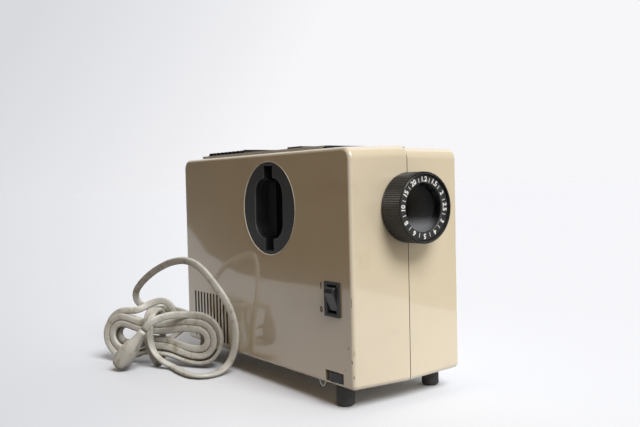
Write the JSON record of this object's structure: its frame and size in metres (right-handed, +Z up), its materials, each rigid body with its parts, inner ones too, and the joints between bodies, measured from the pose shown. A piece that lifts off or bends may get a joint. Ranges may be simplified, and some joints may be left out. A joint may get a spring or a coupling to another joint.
{
  "type": "slide projector",
  "caption": "Slide projector for mounted transparencies, with a beige casing, side slide ports, a focusing lens and a hanked mains lead.",
  "frame": {"origin": "on the floor below the middle of the projector's bounding box, cord, strain relief and plug left out", "axes": "+X to the projector's right (seen from behind it), -Y out of the lens, +Z up"},
  "size_m": [0.1962, 0.3367, 0.1947],
  "materials": {
    "aluminium": "bright aluminium",
    "black_metal": "black stove enamel",
    "black_plastic": "black plastic, fine texture",
    "casing": "moulded beige plastic, semi-gloss",
    "ceramic": "unglazed ceramic",
    "copper": "enamelled copper wire under tape",
    "glass": "polished, coated",
    "grey_plastic": "grey plastic",
    "heat_glass": "heat-absorbing glass, faint green",
    "lead_grey": "off-white PVC, soiled",
    "rubber": "black rubber",
    "steel": "plated steel"
  },
  "bodies": {
    "casing": {"casing_screw_1": "steel", "casing_screw_2": "steel", "casing_screw_3": "steel", "casing_screw_4": "steel", "chassis_plate": "steel", "chassis_screw_1": "steel", "chassis_screw_2": "steel", "chassis_screw_3": "steel", "chassis_screw_4": "steel", "condenser_cell": "aluminium", "condenser_front": "glass", "condenser_rear": "glass", "cord_hank": "lead_grey", "cord_lead": "lead_grey", "cord_tail": "lead_grey", "cord_wrap": "lead_grey", "fan_motor": "steel", "heat_filter": "heat_glass", "lamp_bulb": "glass", "lamp_carrier": "steel", "lamp_house": "aluminium", "lampholder": "ceramic", "left_shell": "casing", "lens_sleeve": "black_metal", "lens_support": "steel", "mains_plug": "lead_grey", "rear_foot_left": "rubber", "rear_foot_right": "rubber", "reflector": "aluminium", "right_shell": "casing", "slide_channel": "black_metal", "slide_port_left": "black_plastic", "slide_port_right": "black_plastic", "strain_relief": "rubber", "switch_body": "black_plastic", "terminal_block": "ceramic", "top_cover": "black_plastic", "transformer_core": "steel", "transformer_winding": "copper", "wire_eye": "steel"},
    "lens": {"lens_barrel": "black_metal", "front_glass": "glass", "rear_glass": "glass"},
    "focus": {"focus_ring": "black_plastic", "name_ring": "black_plastic"},
    "rocker": {"switch_rocker": "black_plastic"},
    "wheel_left": {"foot_wheel_left": "black_plastic"},
    "wheel_right": {"foot_wheel_right": "black_plastic"},
    "foot_left": {"front_foot_left": "rubber", "foot_stem_left": "steel"},
    "foot_right": {"front_foot_right": "rubber", "foot_stem_right": "steel"},
    "rotor": {"fan_rotor": "grey_plastic"}
  },
  "joints": [
    {"name": "lens_travel", "type": "slide", "parent": "casing", "child": "lens", "axis": [0, -1, 0], "range_m": [0, 0.012]},
    {"name": "focus_turn", "type": "hinge", "parent": "lens", "child": "focus", "pos_m": [0, -0.1199, 0.1442], "axis": [0, -1, 0], "range_deg": [0, 270]},
    {"name": "rocker_tilt", "type": "hinge", "parent": "casing", "child": "rocker", "pos_m": [-0.0519, -0.0962, 0.0793], "axis": [0, 1, 0], "range_deg": [0, 24]},
    {"name": "wheel_left_turn", "type": "hinge", "parent": "casing", "child": "wheel_left", "pos_m": [-0.0435, -0.0959, 0.0189], "axis": [0, 0, 1], "range_deg": [0, 1440]},
    {"name": "wheel_right_turn", "type": "hinge", "parent": "casing", "child": "wheel_right", "pos_m": [0.0435, -0.0959, 0.0189], "axis": [0, 0, 1], "range_deg": [0, 1440]},
    {"name": "foot_left_drop", "type": "slide", "parent": "casing", "child": "foot_left", "axis": [0, 0, -1], "range_m": [0, 0.012]},
    {"name": "foot_right_drop", "type": "slide", "parent": "casing", "child": "foot_right", "axis": [0, 0, -1], "range_m": [0, 0.012]},
    {"name": "fan_spin", "type": "hinge", "parent": "casing", "child": "rotor", "pos_m": [0, 0.0506, 0.0707], "axis": [0, 0, 1], "continuous": true}
  ],
  "couplings": [
    {"joint": "focus_turn", "follows": "lens_travel", "rad_per_m": 392.69},
    {"joint": "foot_left_drop", "follows": "wheel_left_turn", "m_per_rad": 0.0004774},
    {"joint": "foot_right_drop", "follows": "wheel_right_turn", "m_per_rad": 0.0004774}
  ]
}
